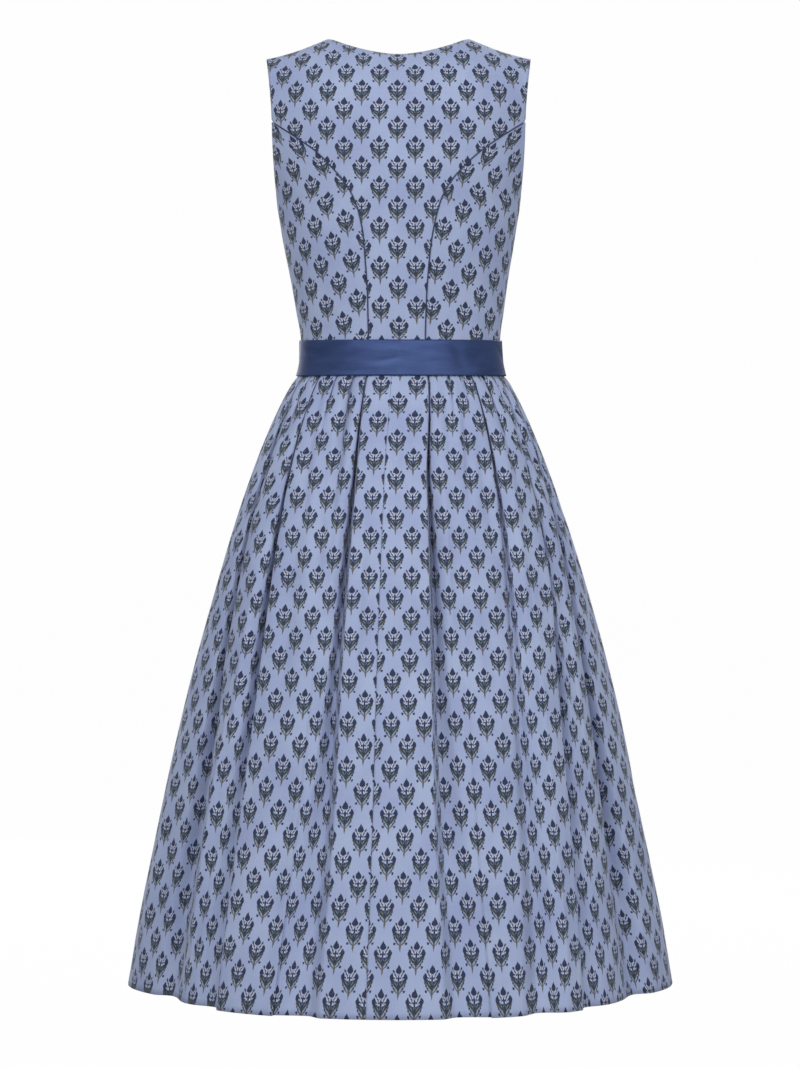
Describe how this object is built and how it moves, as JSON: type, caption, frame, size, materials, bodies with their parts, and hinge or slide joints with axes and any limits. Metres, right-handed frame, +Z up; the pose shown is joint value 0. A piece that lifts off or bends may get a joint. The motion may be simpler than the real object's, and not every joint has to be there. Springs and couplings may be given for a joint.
{
  "type": "dirndl dress",
  "caption": "Sleeveless calf-length dress with a fitted princess-seam bodice, a satin waist band and a wide pleated skirt, in the hollow shape it has when worn.",
  "frame": {"origin": "midpoint between the shoulders, where the wearer holds the dress up", "axes": "+Z up, -Y out of the dress's front, +X to the wearer's left"},
  "size_m": [0.7121, 0.6067, 1.2275],
  "materials": {
    "print_cotton": "smooth light blue cotton with a small printed flower repeat",
    "navy_satin": "navy satin with a soft sheen",
    "navy_piping": "fine navy corded piping"
  },
  "bodies": {
    "root": {"bodice_back_centre": "print_cotton", "bodice_back_side_left": "print_cotton", "bodice_back_side_right": "print_cotton", "bodice_front_centre_left": "print_cotton", "bodice_front_centre_right": "print_cotton", "bodice_front_side_left": "print_cotton", "bodice_front_side_right": "print_cotton", "back_piping_left": "navy_piping", "back_piping_right": "navy_piping", "waist_band": "navy_satin", "skirt_back_left": "print_cotton", "skirt_back_right": "print_cotton", "skirt_front_left": "print_cotton", "skirt_front_right": "print_cotton"}
  },
  "joints": []
}
